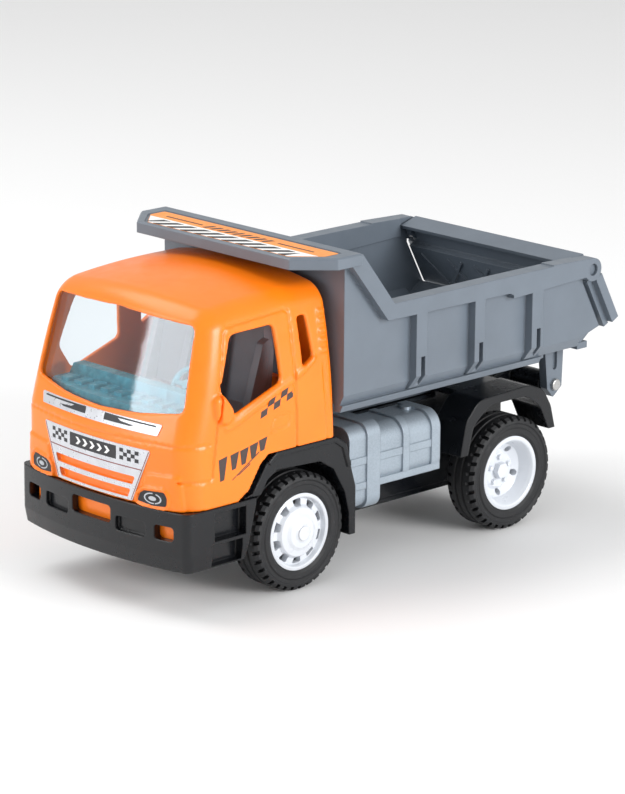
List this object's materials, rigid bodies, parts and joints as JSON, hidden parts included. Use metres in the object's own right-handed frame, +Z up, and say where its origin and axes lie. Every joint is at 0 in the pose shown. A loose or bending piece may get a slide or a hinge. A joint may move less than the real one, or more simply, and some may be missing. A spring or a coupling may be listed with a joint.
{
  "type": "toy dump truck",
  "caption": "Toy dump truck: cab with a clear windshield, tipping bed with a swinging tailgate, rolling wheels and a friction motor on the rear axle.",
  "frame": {"origin": "middle of the truck's plan outline, on the surface it stands on", "axes": "+Z up, -Y the way the truck faces, +X the truck's left side"},
  "size_m": [0.0868, 0.1836, 0.1012],
  "materials": {
    "orange_plastic": "glossy injection-moulded orange",
    "grey_plastic": "satin metallic grey, moulded",
    "black_plastic": "satin black, moulded",
    "dark_plastic": "satin dark grey, moulded",
    "silver_plastic": "silver pearl plastic",
    "white_plastic": "glossy white, moulded",
    "seat_plastic": "satin grey, moulded",
    "tinted_clear": "clear blue-tinted polystyrene",
    "silver_foil": "silver printed foil",
    "lamp_black": "glossy black lamp sticker",
    "hazard_foil": "printed orange foil",
    "tyre_vinyl": "soft vinyl tyre",
    "steel": "plain steel",
    "gear_plastic": "natural nylon"
  },
  "bodies": {
    "chassis": {"chassis_frame": "black_plastic", "front_bumper": "black_plastic", "front_fender_left": "black_plastic", "front_fender_right": "black_plastic", "rear_fender_left": "black_plastic", "rear_fender_right": "black_plastic", "base_plate": "dark_plastic", "motor_case_left": "dark_plastic", "motor_case_right": "dark_plastic", "cab_shell": "orange_plastic", "windshield": "tinted_clear", "dashboard": "tinted_clear", "seats": "seat_plastic", "grille_sticker": "silver_foil", "nose_sticker": "silver_foil", "headlight_left": "lamp_black", "headlight_right": "lamp_black", "tank_set_left": "silver_plastic", "tank_set_right": "silver_plastic", "idler_pin": "steel", "base_screws": "steel"},
    "front_wheelset": {"front_axle": "steel", "front_tyre_left": "tyre_vinyl", "front_tyre_right": "tyre_vinyl", "front_rim_left": "white_plastic", "front_rim_right": "white_plastic"},
    "rear_wheelset": {"rear_axle": "steel", "axle_gear": "gear_plastic", "rear_tyre_left": "tyre_vinyl", "rear_tyre_right": "tyre_vinyl", "rear_rim_left": "white_plastic", "rear_rim_right": "white_plastic"},
    "idler": {"idler_gear": "gear_plastic"},
    "flywheel_body": {"flywheel": "steel"},
    "bed": {"dump_bed": "grey_plastic", "canopy_sticker": "hazard_foil", "tilt_pin": "steel"},
    "gate": {"tailgate": "grey_plastic"}
  },
  "joints": [
    {"name": "front_axle_spin", "type": "hinge", "parent": "chassis", "child": "front_wheelset", "pos_m": [0, -0.0409, 0.018], "axis": [1, 0, 0], "continuous": true},
    {"name": "rear_axle_spin", "type": "hinge", "parent": "chassis", "child": "rear_wheelset", "pos_m": [0, 0.05, 0.018], "axis": [1, 0, 0], "continuous": true},
    {"name": "idler_spin", "type": "hinge", "parent": "chassis", "child": "idler", "pos_m": [0, 0.04389, 0.02022], "axis": [1, 0, 0], "continuous": true},
    {"name": "flywheel_spin", "type": "hinge", "parent": "chassis", "child": "flywheel_body", "pos_m": [0, 0.03826, 0.02347], "axis": [1, 0, 0], "continuous": true},
    {"name": "bed_tilt", "type": "hinge", "parent": "chassis", "child": "bed", "pos_m": [0, 0.0754, 0.041], "axis": [-1, 0, 0], "range_deg": [0, 50]},
    {"name": "tailgate_swing", "type": "hinge", "parent": "bed", "child": "gate", "pos_m": [0, 0.0785, 0.0799], "axis": [1, 0, 0], "range_deg": [0, 60]}
  ],
  "couplings": [
    {"joint": "idler_spin", "follows": "rear_axle_spin", "ratio": -1.6},
    {"joint": "flywheel_spin", "follows": "rear_axle_spin", "ratio": 2.56}
  ]
}
